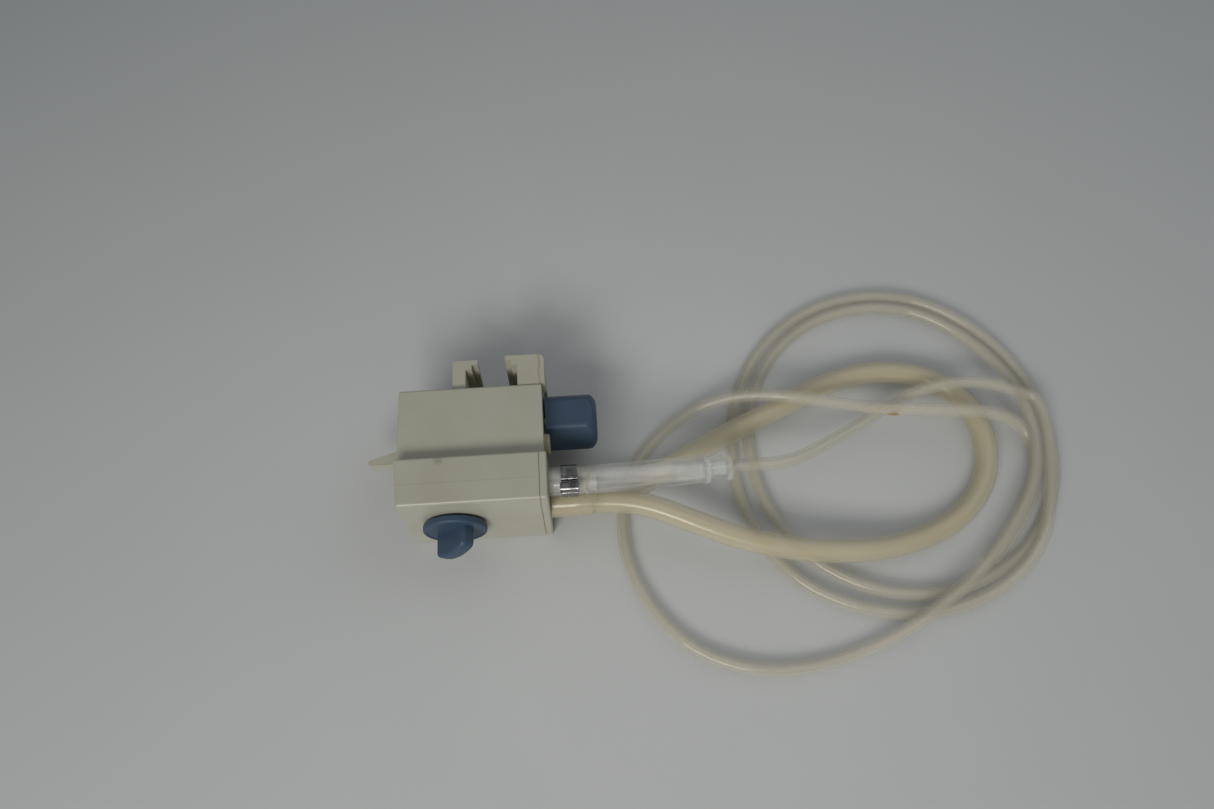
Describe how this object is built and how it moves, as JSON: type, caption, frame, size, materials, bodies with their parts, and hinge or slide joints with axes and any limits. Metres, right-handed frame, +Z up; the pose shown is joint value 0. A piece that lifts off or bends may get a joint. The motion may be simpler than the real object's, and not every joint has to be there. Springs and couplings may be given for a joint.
{
  "type": "suction pump",
  "caption": "Rail-clamped suction unit: ivory case with a regulator knob and clamp knob, stepped rail jaws, shut-off lever, and coiled clear hoses.",
  "frame": {"origin": "middle of the unit's footprint without its hoses, on the surface it lies on", "axes": "+X along the case towards the hose ports, +Y from the regulator knob to the rail clamp, +Z up from the table"},
  "size_m": [0.3323, 0.1961, 0.05],
  "materials": {
    "ivory_case": "satin",
    "ivory_jaw": "satin",
    "blue_knob": "satin",
    "steel": "satin",
    "band_steel": "polished",
    "brass": "satin",
    "black_rubber": "matte",
    "pale_rubber": "matte",
    "white_plastic": "matte",
    "clear_tube": "gloss",
    "thick_tube": "gloss",
    "thin_tube": "gloss",
    "clear_fitting": "gloss"
  },
  "bodies": {
    "case": {"front_housing": "ivory_case", "end_cap": "ivory_case", "end_cap_gasket": "pale_rubber", "end_cap_screws": "steel", "rear_housing": "ivory_case", "joining_screws": "steel", "fixed_jaw": "ivory_jaw", "fixed_jaw_screws": "steel", "jaw_guide_rods": "steel", "clamp_bush": "brass", "thrust_washer": "steel", "retaining_ring": "steel", "vent_boss": "ivory_case", "vent_filter": "white_plastic", "spindle_bush": "brass", "spindle_o_ring": "black_rubber", "regulating_spring": "steel", "diaphragm_plate": "steel", "diaphragm": "black_rubber", "diaphragm_ring": "white_plastic", "valve_chamber": "white_plastic", "valve_poppet": "brass", "ejector_body": "white_plastic", "ejector_nozzle": "brass", "ejector_diffuser": "brass", "link_tube": "clear_fitting", "suction_barb": "white_plastic", "supply_barb": "white_plastic", "exhaust_barb": "white_plastic", "lever_pin": "steel", "shutoff_valve_body": "white_plastic", "plunger_spring": "steel", "ear_clamp": "band_steel", "clear_hose": "clear_tube", "thick_hose": "thick_tube", "thin_hose_lead": "thin_tube", "thin_hose_loop": "thin_tube", "thin_hose_coil": "thin_tube", "hose_connector": "clear_fitting"},
    "regulator": {"regulator_knob": "blue_knob", "knob_set_screw": "steel", "regulator_spindle": "brass"},
    "spring_seat_slide": {"spring_seat": "brass"},
    "clamp_spindle": {"clamp_knob": "blue_knob", "clamp_knob_pin": "steel", "clamp_screw": "steel"},
    "jaw_slide": {"moving_jaw": "ivory_jaw", "jaw_nut": "brass"},
    "lever": {"shutoff_lever": "ivory_jaw"},
    "plunger": {"shutoff_plunger": "brass"}
  },
  "joints": [
    {"name": "regulator_turn", "type": "hinge", "parent": "case", "child": "regulator", "pos_m": [-0.01305, -0.0289, 0.025], "axis": [0, 1, 0], "range_deg": [-270, 0]},
    {"name": "spring_seat_travel", "type": "slide", "parent": "case", "child": "spring_seat_slide", "axis": [0, 1, 0], "range_m": [-0.00076, 0]},
    {"name": "clamp_turn", "type": "hinge", "parent": "case", "child": "clamp_spindle", "pos_m": [0.03, 0.0186, 0.022], "axis": [1, 0, 0], "range_deg": [-362, 1082]},
    {"name": "jaw_travel", "type": "slide", "parent": "case", "child": "jaw_slide", "axis": [1, 0, 0], "range_m": [-0.006, 0.002]},
    {"name": "lever_swing", "type": "hinge", "parent": "case", "child": "lever", "pos_m": [-0.02755, 0.0051, 0.022], "axis": [0, 0, 1], "range_deg": [0, 14]},
    {"name": "plunger_travel", "type": "slide", "parent": "case", "child": "plunger", "axis": [1, 0, 0], "range_m": [0, 0.00105]}
  ],
  "couplings": [
    {"joint": "spring_seat_travel", "follows": "regulator_turn", "m_per_rad": 0.00015915},
    {"joint": "clamp_turn", "follows": "jaw_travel", "rad_per_m": -3141.6},
    {"joint": "plunger_travel", "follows": "lever_swing", "m_per_rad": 0.0041}
  ]
}
